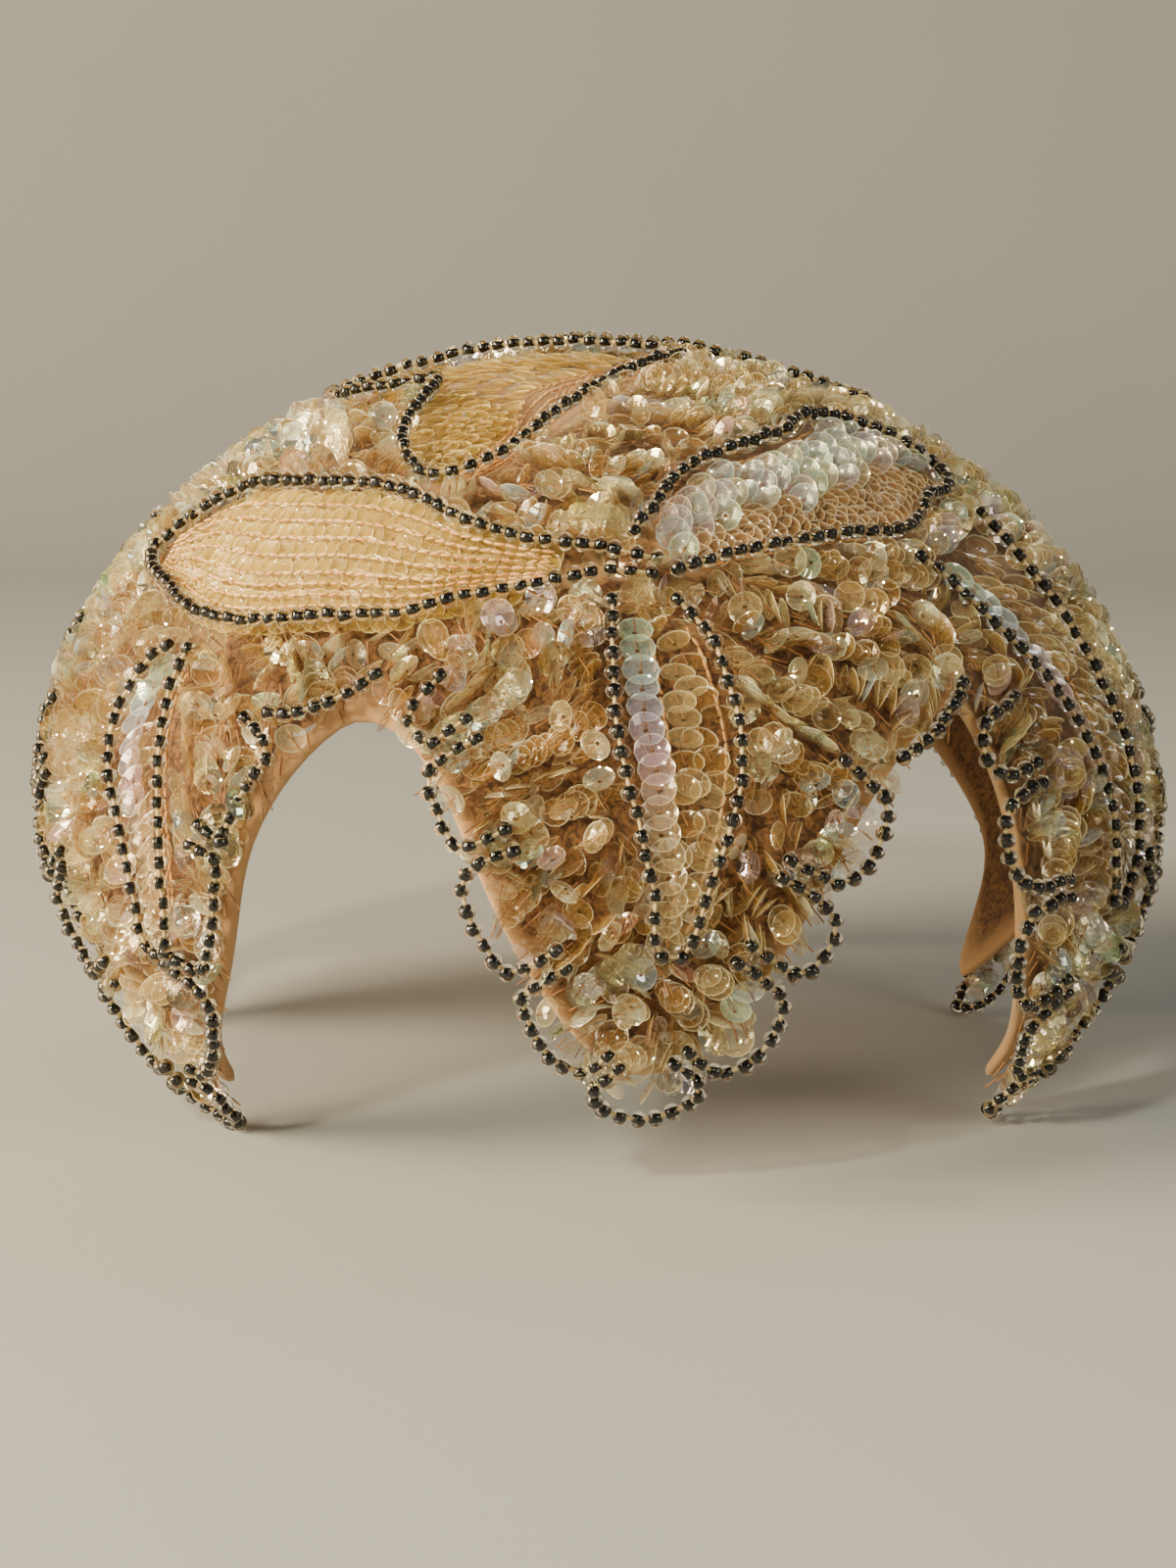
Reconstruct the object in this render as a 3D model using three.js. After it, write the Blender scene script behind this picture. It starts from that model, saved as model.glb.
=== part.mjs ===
// Sequin half hat: a small domed evening cap of felt with six lobes that curl in at the tips.
// A bed of sequins covers the felt. Strings of glass seed beads outline its petals, its leaves and its edge.
// Millimetres, +Z up, front towards -Y. A point on the dome is given by its azimuth, degrees from the front
// and positive towards +X, and by its drop, degrees from the crown: 90 is the widest level.
import * as THREE from 'three';

// Driving dimensions of the felt dome
const WIDEST_RADIUS = 84.5;
const WIDEST_HEIGHT = 34.5;
const CROWN_RISE = 72.5;
const CURL_DROP = 56;

// Thicknesses, from the felt outwards
const FELT_WALL = 2;
const SEWN_GAP = 0.3;
const SEQUIN_BED = 2.5;
const BEAD_DIAMETER = 2.5;
const STRING_LIFT = SEWN_GAP + SEQUIN_BED + SEWN_GAP + BEAD_DIAMETER / 2;

// The bed of sequins stops short of the felt's edge
const BED_INSET = 3.5;
const BED_TIP_INSET = 6;

// The edge string runs in scallops, and where two of them join it is sewn in from the edge
const SCALLOP_ROUNDNESS = 0.7;
const JOIN_CLEARANCE = 3;

// Mesh steps
const LOBE_COLUMNS = 16;
const BED_RINGS = 7;
const STRING_SIDES = 6;
const STEPS_PER_SCALLOP = 4;
const LINE_STEP = 7.5;

// The arches are the tops of the gaps between the lobes
const SIDE_PITCH = 58;
const LEFT_ARCH = { azimuth: -29.5, drop: 67.5 };
const RIGHT_ARCH = { azimuth: 36.5, drop: 66 };
const SIDE_ARCH = { azimuth: 90, drop: 70 };
const BACK_ARCH = { azimuth: 148, drop: 66.5 };
const flipped = ({ azimuth, drop }) => ({ azimuth: -azimuth, drop });

// A lobe lies between two arches. Its levels are a row for each height, with the azimuth of its two sides.
// Its scallops are a row for each join of its bead string: the share of the way along the felt's edge, how
// deep the join is sewn in, and how far the scallop after it swings past the felt.
const FRONT_LOBE = {
  before: LEFT_ARCH,
  after: RIGHT_ARCH,
  tip: { azimuth: 0.5, drop: 113.5 },
  levels: [
    { drop: 69, start: -24, end: 31 },
    { drop: 74.5, start: -19.5, end: 25 },
    { drop: 81, start: -16.3, end: 20 },
    { drop: 89, start: -13, end: 15.7 },
    { drop: 98, start: -9.5, end: 11.5 },
    { drop: 106.5, start: -5.8, end: 7.5 },
  ],
  scallops: [
    { join: 0.05, depth: 9, swing: -2.5 },
    { join: 0.1, depth: 8, swing: 0 },
    { join: 0.195, depth: 6.5, swing: 1.5 },
    { join: 0.31, depth: 6, swing: 1.5 },
    { join: 0.42, depth: 5.5, swing: 2.2 },
    { join: 0.545, depth: 5, swing: 2.8 },
    { join: 0.655, depth: 7, swing: 2 },
    { join: 0.74, depth: 8, swing: 1.5 },
    { join: 0.85, depth: 8 },
  ],
};
const RIGHT_LOBE = {
  before: RIGHT_ARCH,
  after: SIDE_ARCH,
  tip: { azimuth: 53, drop: 125.5 },
  levels: [
    { drop: 71.5, start: 38.6, end: 84 },
    { drop: 78, start: 40.2, end: 79 },
    { drop: 85, start: 41.1, end: 73 },
    { drop: 93, start: 41.8, end: 66.5 },
    { drop: 101, start: 43, end: 61.5 },
    { drop: 109, start: 46, end: 59.3 },
    { drop: 118, start: 50.5, end: 57.5 },
  ],
  scallops: [
    { join: 0.02, depth: 5, swing: 4 },
    { join: 0.09, depth: 3, swing: 5.5 },
    { join: 0.19, depth: 5, swing: 4.5 },
    { join: 0.295, depth: 5, swing: 2 },
    { join: 0.4, depth: 4, swing: 1.5 },
    { join: 0.53, depth: 4, swing: 2 },
    { join: 0.63, depth: 5, swing: 2 },
    { join: 0.72, depth: 5, swing: 2 },
    { join: 0.81, depth: 5, swing: 2 },
    { join: 0.9, depth: 5 },
  ],
};
const LEFT_LOBE = {
  before: flipped(SIDE_ARCH),
  after: LEFT_ARCH,
  tip: { azimuth: -53, drop: 125.5 },
  levels: [
    { drop: 71.5, start: -84, end: -33.5 },
    { drop: 78, start: -79, end: -37.5 },
    { drop: 85, start: -73, end: -40 },
    { drop: 93, start: -66.5, end: -41 },
    { drop: 101, start: -61.5, end: -42.7 },
    { drop: 109, start: -59.3, end: -46 },
    { drop: 118, start: -57.5, end: -50.5 },
  ],
  scallops: [
    { join: 0.08, depth: 5, swing: 2 },
    { join: 0.17, depth: 5, swing: 2 },
    { join: 0.27, depth: 5, swing: 2 },
    { join: 0.37, depth: 5, swing: 2 },
    { join: 0.47, depth: 4, swing: 1.5 },
    { join: 0.6, depth: 4, swing: 1.5 },
    { join: 0.726, depth: 7.5, swing: -1 },
    { join: 0.841, depth: 5.5, swing: -2.5 },
    { join: 0.94, depth: 8 },
  ],
};

// Bead lines. Each runs through stations of azimuth and drop, out from its hub and back to it.
// Those further back are copies of those at the front, turned about the crown, or mirrored and then turned.
const LINES = [
  {
    name: 'left_petal_string', copies: [{ name: 'back_right_petal_string', sense: 1, turn: 180 }],
    stations: [
      [-4, 48.7], [-12, 47.8], [-20, 46], [-29, 42.8], [-37, 41.5], [-50, 41.8], [-62, 43.2], [-69, 48.5],
      [-72, 53], [-67, 55.3], [-60, 57], [-52, 59.2], [-44, 59.3], [-38, 58.4], [-26, 57.2], [-19, 55],
      [-11, 53.2], [-5, 52],
    ],
  },
  {
    name: 'right_petal_string', copies: [{ name: 'back_left_petal_string', sense: 1, turn: 180 }],
    stations: [
      [0, 46.8], [3, 43.5], [7, 39], [18, 34.5], [30, 32], [45, 28.8], [57, 33], [60, 39], [55, 42.5],
      [47, 43.5], [42, 46], [37, 47.4], [28, 47.4], [19, 48.4], [11, 49.6], [4.8, 51.6],
    ],
  },
  {
    name: 'left_crown_petal_string', copies: [{ name: 'right_crown_petal_string', sense: 1, turn: 180 }],
    stations: [
      [40, 11.5], [-2, 20], [-14, 29], [-21, 36.5], [-29, 39.5], [-37, 35.5], [-42, 31], [-47, 25],
      [-52, 21.5], [-61, 22.7], [-73, 25.5], [-83, 27.4], [-96, 27.4], [-104, 15.5], [-94, 6], [50, 6.5],
    ],
  },
  {
    name: 'left_leaf_string', copies: [{ name: 'back_right_leaf_string', sense: -1, turn: SIDE_PITCH }],
    stations: [
      [-54.8, 63.2], [-57.5, 66.5], [-59, 73], [-57, 78], [-54, 83], [-51.5, 89], [-49.8, 96.5],
      [-47.4, 96.5], [-47, 89], [-49, 78], [-51.2, 69], [-51, 63.2],
    ],
  },
  {
    name: 'front_leaf_string', copies: [{ name: 'back_leaf_string', sense: 1, turn: 180 }],
    stations: [
      [-2.6, 55], [-2.8, 62], [-2.2, 70], [-0.6, 78], [0.9, 85], [1.2, 91.5], [3.4, 91.5], [5.8, 84],
      [8, 77.5], [9.2, 70.5], [8.6, 64.5], [7, 58.5], [4.2, 55],
    ],
  },
  {
    name: 'right_leaf_string', copies: [{ name: 'back_left_leaf_string', sense: -1, turn: -SIDE_PITCH }],
    stations: [
      [37.5, 51], [41, 56], [45, 61.5], [49.5, 68.5], [53, 76], [54.6, 84], [54.2, 92], [56.6, 92],
      [61.5, 84.5], [61.8, 76.5], [60, 67], [58.5, 56], [57.5, 46.5],
    ],
  },
  {
    name: 'left_front_bridge_string', copies: [
      { name: 'back_left_left_bridge_string', sense: 1, turn: -60 },
      { name: 'back_right_back_bridge_string', sense: 1, turn: 178 },
    ],
    stations: [[-37, 69], [-34, 68.6], [-31, 67.4], [-28.5, 66], [-26.3, 64]],
  },
  {
    name: 'front_right_bridge_string', copies: [
      { name: 'right_back_right_bridge_string', sense: 1, turn: 56 },
      { name: 'back_back_left_bridge_string', sense: 1, turn: 176 },
    ],
    stations: [[25.3, 72.6], [27.8, 71.4], [30, 69.8], [32.5, 67.8], [34.7, 65.7]],
  },
];

const felt = new THREE.MeshStandardMaterial({ color: '#e9b08a', roughness: 0.95, metalness: 0 });
const sequins = new THREE.MeshStandardMaterial({ color: '#d9b98c', roughness: 0.35, metalness: 0 });
const beads = new THREE.MeshStandardMaterial({ color: '#26221f', roughness: 0.15, metalness: 0 });

// A point on the dome, raised off the felt along the dome's normal
function dome(azimuth, drop, lift = 0) {
  const turn = THREE.MathUtils.degToRad(azimuth);
  const fall = THREE.MathUtils.degToRad(drop);
  const rise = drop < 90 ? CROWN_RISE : CURL_DROP;
  const slope = new THREE.Vector2(rise * Math.sin(fall), WIDEST_RADIUS * Math.cos(fall)).normalize();
  const radius = WIDEST_RADIUS * Math.sin(fall) + lift * slope.x;
  const height = WIDEST_HEIGHT + rise * Math.cos(fall) + lift * slope.y;
  return new THREE.Vector3(radius * Math.sin(turn), -radius * Math.cos(turn), height);
}

// The azimuth and drop of a point that lies on the dome, or close to it
function bearing(point) {
  const level = point.z - WIDEST_HEIGHT;
  const rise = level > 0 ? CROWN_RISE : CURL_DROP;
  const radius = Math.hypot(point.x, point.y);
  return {
    azimuth: THREE.MathUtils.radToDeg(Math.atan2(point.x, -point.y)),
    drop: THREE.MathUtils.radToDeg(Math.atan2(radius / WIDEST_RADIUS, level / rise)),
  };
}

// Degrees of azimuth, at a level, for a length along the dome
const degreesFor = (length, drop) =>
  THREE.MathUtils.radToDeg(length / (WIDEST_RADIUS * Math.sin(THREE.MathUtils.degToRad(drop))));

// The edge of one lobe, from the arch before it round its tip to the arch after it
function lobeEdge(lobe, inset = 0, tipInset = 0) {
  const up = THREE.MathUtils.radToDeg(inset / WIDEST_RADIUS);
  const tipUp = THREE.MathUtils.radToDeg(tipInset / WIDEST_RADIUS);
  const starts = lobe.levels.map(({ drop, start }) => dome(start + degreesFor(inset, drop), drop));
  const ends = lobe.levels.map(({ drop, end }) => dome(end - degreesFor(inset, drop), drop));
  return new THREE.CatmullRomCurve3([
    dome(lobe.before.azimuth, lobe.before.drop - up),
    ...starts,
    dome(lobe.tip.azimuth, lobe.tip.drop - tipUp),
    ...ends.reverse(),
    dome(lobe.after.azimuth, lobe.after.drop - up),
  ], false, 'centripetal');
}

// A lobe turned about the crown
function turned(lobe, angle) {
  const round = ({ azimuth, drop }) => ({ azimuth: azimuth + angle, drop });
  return {
    ...lobe,
    before: round(lobe.before),
    after: round(lobe.after),
    tip: round(lobe.tip),
    levels: lobe.levels.map(({ drop, start, end }) => ({ drop, start: start + angle, end: end + angle })),
  };
}

const lobes = [
  { name: 'left', ...LEFT_LOBE },
  { name: 'front', ...FRONT_LOBE },
  { name: 'right', ...RIGHT_LOBE },
  { name: 'back_right', ...turned(RIGHT_LOBE, SIDE_PITCH), before: SIDE_ARCH, after: BACK_ARCH },
  { name: 'back', ...turned(FRONT_LOBE, 180), before: BACK_ARCH, after: flipped(BACK_ARCH) },
  {
    name: 'back_left', ...turned(LEFT_LOBE, -SIDE_PITCH),
    before: flipped(BACK_ARCH), after: flipped(SIDE_ARCH),
  },
];

// Azimuth nearest to a guide, so that columns don't jump a whole turn
const unwrap = (azimuth, guide) => azimuth + 360 * Math.round((guide - azimuth) / 360);

// Columns of the shells: each runs from the crown to the edge of the bed and on to the felt's edge
function shellColumns() {
  const count = lobes.length * LOBE_COLUMNS;
  return lobes.flatMap((lobe, lobeIndex) => {
    const edge = lobeEdge(lobe);
    const bed = lobeEdge(lobe, BED_INSET, BED_TIP_INSET);
    return Array.from({ length: LOBE_COLUMNS }, (_, column) => {
      const even = -SIDE_ARCH.azimuth + (360 * (lobeIndex * LOBE_COLUMNS + column)) / count;
      const rim = bearing(edge.getPointAt(column / LOBE_COLUMNS));
      const hem = bearing(bed.getPointAt(column / LOBE_COLUMNS));
      const hemAzimuth = unwrap(hem.azimuth, even);
      const rings = Array.from({ length: BED_RINGS }, (_unused, ring) => {
        const share = (ring + 1) / BED_RINGS;
        return { azimuth: even + (hemAzimuth - even) * share ** 2, drop: hem.drop * share };
      });
      return [...rings, { azimuth: unwrap(rim.azimuth, even), drop: rim.drop }];
    });
  });
}

// A closed wall between two lifts off the felt, over the first rings of each column
function wall(columns, rings, lowLift, highLift) {
  const points = [];
  const triangles = [];
  const sheetStart = {};
  for (const [sheet, lift] of [['outer', highLift], ['inner', lowLift]]) {
    sheetStart[sheet] = points.length;
    points.push(dome(0, 0, lift));
    for (const column of columns) {
      for (const { azimuth, drop } of column.slice(0, rings)) points.push(dome(azimuth, drop, lift));
    }
  }
  const at = (sheet, column, ring) => sheetStart[sheet] + 1 + (column % columns.length) * rings + ring;
  for (let column = 0; column < columns.length; column += 1) {
    const next = column + 1;
    triangles.push([sheetStart.outer, at('outer', column, 0), at('outer', next, 0)]);
    triangles.push([sheetStart.inner, at('inner', next, 0), at('inner', column, 0)]);
    for (let ring = 0; ring + 1 < rings; ring += 1) {
      const below = ring + 1;
      triangles.push([at('outer', column, ring), at('outer', column, below), at('outer', next, below)]);
      triangles.push([at('outer', column, ring), at('outer', next, below), at('outer', next, ring)]);
      triangles.push([at('inner', column, ring), at('inner', next, below), at('inner', column, below)]);
      triangles.push([at('inner', column, ring), at('inner', next, ring), at('inner', next, below)]);
    }
    const last = rings - 1;
    triangles.push([at('outer', column, last), at('inner', column, last), at('inner', next, last)]);
    triangles.push([at('outer', column, last), at('inner', next, last), at('outer', next, last)]);
  }
  const geometry = new THREE.BufferGeometry().setFromPoints(points);
  geometry.setIndex(triangles.flat());
  geometry.computeVertexNormals();
  return geometry;
}

// A string of beads as a tube along a curve
function stringTube(points, steps) {
  const section = new THREE.Shape();
  for (let side = 0; side < STRING_SIDES; side += 1) {
    const angle = (2 * Math.PI * side) / STRING_SIDES;
    const corner = [(BEAD_DIAMETER / 2) * Math.cos(angle), (BEAD_DIAMETER / 2) * Math.sin(angle)];
    if (side === 0) section.moveTo(...corner);
    else section.lineTo(...corner);
  }
  section.closePath();
  const extrudePath = new THREE.CatmullRomCurve3(points, false, 'centripetal');
  const options = { steps: steps(extrudePath.getLength()), bevelEnabled: false, extrudePath };
  return new THREE.ExtrudeGeometry(section, options);
}

const lineSteps = (length) => Math.max(3, Math.round(length / LINE_STEP));

// A point beside a lobe's edge, on top of the sequins: positive is out past the felt
function besideEdge(edge, share, out) {
  const place = edge.getPointAt(share);
  const { azimuth, drop } = bearing(place);
  const normal = dome(azimuth, drop, 1).sub(dome(azimuth, drop));
  const outward = new THREE.Vector3().crossVectors(edge.getTangentAt(share), normal);
  const moved = bearing(place.addScaledVector(outward.normalize(), out));
  return dome(moved.azimuth, moved.drop, STRING_LIFT);
}

// Half the lobe's width at a place on its edge, as a length along the dome
function halfWidth(lobe, edge, share) {
  const { azimuth, drop } = bearing(edge.getPointAt(share));
  const turn = THREE.MathUtils.degToRad(unwrap(azimuth, lobe.tip.azimuth) - lobe.tip.azimuth);
  return Math.abs(turn) * WIDEST_RADIUS * Math.sin(THREE.MathUtils.degToRad(drop));
}

// The scalloped string round one lobe
function edgeString(lobe) {
  const edge = lobeEdge(lobe);
  const sewnIn = ({ join, depth }) =>
    -Math.min(depth, Math.max(0, halfWidth(lobe, edge, join) - JOIN_CLEARANCE));
  const points = lobe.scallops.slice(1).flatMap((next, index) => {
    const scallop = lobe.scallops[index];
    return Array.from({ length: STEPS_PER_SCALLOP }, (_, step) => {
      const along = step / STEPS_PER_SCALLOP;
      const base = THREE.MathUtils.lerp(sewnIn(scallop), sewnIn(next), along);
      const rise = Math.sin(Math.PI * along) ** SCALLOP_ROUNDNESS;
      const share = THREE.MathUtils.lerp(scallop.join, next.join, along);
      return besideEdge(edge, share, THREE.MathUtils.lerp(base, scallop.swing, rise));
    });
  });
  const last = lobe.scallops.at(-1);
  points.push(besideEdge(edge, last.join, sewnIn(last)));
  return stringTube(points, () => points.length - 1);
}

const hat = new THREE.Group();

function add(name, geometry, finish) {
  const mesh = new THREE.Mesh(geometry, finish);
  mesh.name = name;
  hat.add(mesh);
}

const columns = shellColumns();
add('felt_cap', wall(columns, BED_RINGS + 1, -FELT_WALL, 0), felt);
add('sequin_cover', wall(columns, BED_RINGS, SEWN_GAP, SEWN_GAP + SEQUIN_BED), sequins);

for (const { name, copies, stations } of LINES) {
  for (const line of [{ name, sense: 1, turn: 0 }, ...copies]) {
    const place = ([azimuth, drop]) => dome(line.sense * azimuth + line.turn, drop, STRING_LIFT);
    add(line.name, stringTube(stations.map(place), lineSteps), beads);
  }
}

for (const lobe of lobes) add(`${lobe.name}_edge_string`, edgeString(lobe), beads);

// The hat rests on the strings at its four long lobe tips
const box = new THREE.Box3().setFromObject(hat, true);
hat.position.z = -box.min.z;

export default hat;
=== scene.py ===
"""A small evening cap of peach felt, sewn all over with clear sequins and outlined in black-lined seed beads.

Lengths are in metres. A place on the dome is given by its azimuth, in degrees from the front and positive
towards +X, and by its drop, in degrees from the crown: 90 is the widest level.
"""
import math

import bpy
import numpy as np
from mathutils import Matrix, Vector, kdtree, noise


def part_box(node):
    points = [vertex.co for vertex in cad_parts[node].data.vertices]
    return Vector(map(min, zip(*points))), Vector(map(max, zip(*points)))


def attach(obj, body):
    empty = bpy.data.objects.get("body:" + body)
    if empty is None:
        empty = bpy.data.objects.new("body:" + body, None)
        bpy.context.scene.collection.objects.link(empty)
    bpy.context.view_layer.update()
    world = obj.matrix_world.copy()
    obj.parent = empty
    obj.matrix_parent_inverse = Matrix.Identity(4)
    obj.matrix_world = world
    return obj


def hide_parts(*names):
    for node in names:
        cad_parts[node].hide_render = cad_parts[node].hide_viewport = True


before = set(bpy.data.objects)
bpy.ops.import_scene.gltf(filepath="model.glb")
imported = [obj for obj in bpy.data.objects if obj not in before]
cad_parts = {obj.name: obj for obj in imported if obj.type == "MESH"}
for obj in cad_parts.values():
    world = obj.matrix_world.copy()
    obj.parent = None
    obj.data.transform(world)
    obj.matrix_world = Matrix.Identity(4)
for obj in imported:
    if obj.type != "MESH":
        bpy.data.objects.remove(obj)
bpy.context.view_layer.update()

# Camera
# It stands in front of the hat, a little to one side and just above its middle, as the photograph was taken.
# The frame is taken as 1200 by 1600 pixels, with the lens given by its focal length in those pixels.
FRAME_WIDTH = 1200
FOCAL_PIXELS = 3390
SENSOR_WIDTH = 36
CAMERA_AZIMUTH = math.radians(-4.5)
CAMERA_ELEVATION = math.radians(8)
CAMERA_ROLL = math.radians(0.6)
CAMERA_DISTANCE = 0.520
HAT_MIDDLE = Vector((0, 0, 0.0561))
AIM_RIGHT = -0.0009
AIM_UP = -0.0120

back = Vector((
    math.sin(CAMERA_AZIMUTH) * math.cos(CAMERA_ELEVATION),
    -math.cos(CAMERA_AZIMUTH) * math.cos(CAMERA_ELEVATION),
    math.sin(CAMERA_ELEVATION),
))
level = Vector((math.cos(CAMERA_AZIMUTH), math.sin(CAMERA_AZIMUTH), 0))
eye = HAT_MIDDLE + back * CAMERA_DISTANCE
aim = HAT_MIDDLE + level * AIM_RIGHT + back.cross(level) * AIM_UP
facing = (eye - aim).normalized()
across = Vector((0, 0, 1)).cross(facing).normalized()
across = Matrix.Rotation(CAMERA_ROLL, 3, facing) @ across
lens = bpy.data.cameras.new("camera")
lens.sensor_fit = "HORIZONTAL"
lens.sensor_width = SENSOR_WIDTH
lens.lens = FOCAL_PIXELS * SENSOR_WIDTH / FRAME_WIDTH
lens.clip_start = 0.01
camera = bpy.data.objects.new("camera", lens)
camera_axes = Matrix((across, facing.cross(across), facing)).transposed().to_4x4()
camera.matrix_world = Matrix.Translation(eye) @ camera_axes
bpy.context.scene.collection.objects.link(camera)
bpy.context.scene.camera = camera


# Floor and light
# A plain pale sheet that lies flat under the hat and bends up behind it. A wide soft light stands on the
# left, a small bright one gives the sequins their glints, and two weak ones fill in from right and behind.
class Value:
    """An output of a material's nodes. Sums with it add Math nodes to the same material."""

    def __init__(self, tree, socket=None):
        self.tree = tree
        self.socket = socket

    def node(self, kind, settings=None, sockets=None, output=0):
        """Any node: its settings are set first, then the values or links of its sockets."""
        made = self.tree.nodes.new(kind)
        for setting, value in (settings or {}).items():
            setattr(made, setting, value)
        for name, value in (sockets or {}).items():
            if isinstance(value, Value):
                self.tree.links.new(value.socket, made.inputs[name])
            else:
                made.inputs[name].default_value = value
        return Value(self.tree, made.outputs[output] if made.outputs else None)

    def maths(self, operation, first, second):
        return self.node("ShaderNodeMath", {"operation": operation}, {0: first, 1: second})

    def mix(self, factor, first, second):
        """A colour between two colours."""
        return self.node("ShaderNodeMix", {"data_type": "RGBA"}, {0: factor, 6: first, 7: second}, 2)

    def spread(self, value, low, high):
        """A value eased from this range to that from 0 to 1."""
        settings = {"interpolation_type": "SMOOTHSTEP"}
        return self.node("ShaderNodeMapRange", settings, {0: value, 1: low, 2: high})

    def __add__(self, other):
        return self.maths("ADD", self, other)

    def __rsub__(self, other):
        return self.maths("SUBTRACT", other, self)

    def __mul__(self, other):
        return self.maths("MULTIPLY", self, other)

    __radd__ = __add__


def new_finish(name):
    """An empty material, and a value that adds nodes to it."""
    finish = bpy.data.materials.new(name)
    finish.use_nodes = True
    finish.node_tree.nodes.clear()
    return finish, Value(finish.node_tree)


def surface(paint, sockets):
    """Ends a material in one shader with these sockets."""
    shader = paint.node("ShaderNodeBsdfPrincipled", {}, sockets)
    paint.node("ShaderNodeOutputMaterial", {}, {"Surface": shader})


SHEET_HALF_WIDTH = 2.2
SHEET_FRONT = -1.4
SHEET_BACK = 0.75
SHEET_BEND = 0.5
SHEET_HEIGHT = 1.6
BEND_STEPS = 14
HAIRBREADTH = 1e-4

bpy.ops.object.select_all(action="DESELECT")
bpy.ops.mesh.primitive_plane_add(size=1)
floor = bpy.context.object
floor.name = "floor"
bpy.ops.object.mode_set(mode="EDIT")
bpy.ops.mesh.select_all(action="SELECT")
bpy.ops.transform.resize(value=(2 * SHEET_HALF_WIDTH, SHEET_BACK - SHEET_FRONT, 1))
bpy.ops.transform.translate(value=(0, (SHEET_BACK + SHEET_FRONT) / 2, 0))
bpy.ops.object.mode_set(mode="OBJECT")
for corner in floor.data.vertices:
    corner.select = corner.co.y > SHEET_BACK - HAIRBREADTH
for edge in floor.data.edges:
    edge.select = all(floor.data.vertices[corner].select for corner in edge.vertices)
for face in floor.data.polygons:
    face.select = False
bpy.ops.object.mode_set(mode="EDIT")
bpy.ops.mesh.select_mode(type="EDGE")
for step in range(BEND_STEPS):
    start, end = (math.pi / 2 * (step + share) / BEND_STEPS for share in (0, 1))
    run = SHEET_BEND * (math.sin(end) - math.sin(start))
    climb = SHEET_BEND * (math.cos(start) - math.cos(end))
    bpy.ops.mesh.extrude_region_move(TRANSFORM_OT_translate={"value": (0, run, climb)})
bpy.ops.mesh.extrude_region_move(TRANSFORM_OT_translate={"value": (0, 0, SHEET_HEIGHT)})
bpy.ops.object.mode_set(mode="OBJECT")
bpy.ops.object.shade_smooth()
paper, paint = new_finish("pale paper")
place = paint.node("ShaderNodeTexCoord", {}, {}, "Object")
cloud = paint.node("ShaderNodeTexNoise", {}, {"Vector": place, "Scale": 3.0, "Detail": 2.0})
surface(paint, {
    "Base Color": paint.mix(cloud, (0.345, 0.346, 0.33, 1), (0.385, 0.39, 0.383, 1)),
    "Roughness": 0.75,
})
floor.data.materials.append(paper)

LIGHTS = [
    # name, place, width, watts, colour
    ("window", (-1.05, -0.26, 0.44), 0.7, 51.0, (1.0, 0.83, 0.56)),
    ("lamp", (-0.45, -0.75, 0.65), 0.09, 8.0, (1.0, 0.95, 0.72)),
    ("fill", (0.8, -0.7, 0.45), 0.5, 4.0, (1.0, 0.90, 0.70)),
    ("sky", (0.45, 0.55, 0.95), 0.3, 1.5, (0.90, 0.95, 1.0)),
]
for name, spot, width, watts, colour in LIGHTS:
    lamp = bpy.data.lights.new(name, "AREA")
    lamp.shape = "SQUARE"
    lamp.size = width
    lamp.energy = watts
    lamp.color = colour
    holder = bpy.data.objects.new(name, lamp)
    holder.location = spot
    holder.rotation_euler = (HAT_MIDDLE - Vector(spot)).to_track_quat("-Z", "Y").to_euler()
    bpy.context.scene.collection.objects.link(holder)
world = bpy.data.worlds.new("room")
world.use_nodes = True
world.node_tree.nodes["Background"].inputs["Color"].default_value = (1.0, 0.97, 0.93, 1)
world.node_tree.nodes["Background"].inputs["Strength"].default_value = 0.12
bpy.context.scene.world = world


# Felt cap
# One piece of peach wool felt, pressed over a dome and cut along its edge into six pointed lobes with arches
# between them. The felt is about 2 mm thick, and its cut edge is soft and a little rounded.
WIDEST_RADIUS = 0.0845
CROWN_RISE = 0.0725
CURL_DROP = 0.056
FELT_WALL = 0.002
WIDEST_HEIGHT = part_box("felt_cap")[1].z - CROWN_RISE
CURVE_STEPS = 24
EDGE_STEP = 0.0005
LOBE_COLUMNS = 26
FELT_RINGS = 30
FELT_WAVE = 0.0005
FELT_WAVE_SCALE = 45
BARE_EDGE = (0.94, 0.985)


def dome(azimuth, drop, lift=0.0):
    """Points on the felt, raised off it along the dome's normal."""
    turn = np.radians(azimuth)
    fall = np.radians(drop)
    rise = np.where(np.asarray(drop) < 90, CROWN_RISE, CURL_DROP)
    slope = np.stack([rise * np.sin(fall), WIDEST_RADIUS * np.cos(fall)], -1)
    slope = slope / np.linalg.norm(slope, axis=-1, keepdims=True)
    radius = WIDEST_RADIUS * np.sin(fall) + lift * slope[..., 0]
    height = WIDEST_HEIGHT + rise * np.cos(fall) + lift * slope[..., 1]
    return np.stack([radius * np.sin(turn), -radius * np.cos(turn), height], -1)


def normal_at(azimuth, drop):
    """The way straight out of the felt."""
    return (dome(azimuth, drop, FELT_WALL) - dome(azimuth, drop)) / FELT_WALL


def bearing(points):
    """The azimuth and drop of points that lie on the dome, or close to it."""
    height = points[..., 2] - WIDEST_HEIGHT
    radius = np.hypot(points[..., 0], points[..., 1])
    rise = np.where(height > 0, CROWN_RISE, CURL_DROP)
    azimuth = np.degrees(np.arctan2(points[..., 0], -points[..., 1]))
    return azimuth, np.degrees(np.arctan2(radius / WIDEST_RADIUS, height / rise))


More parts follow.
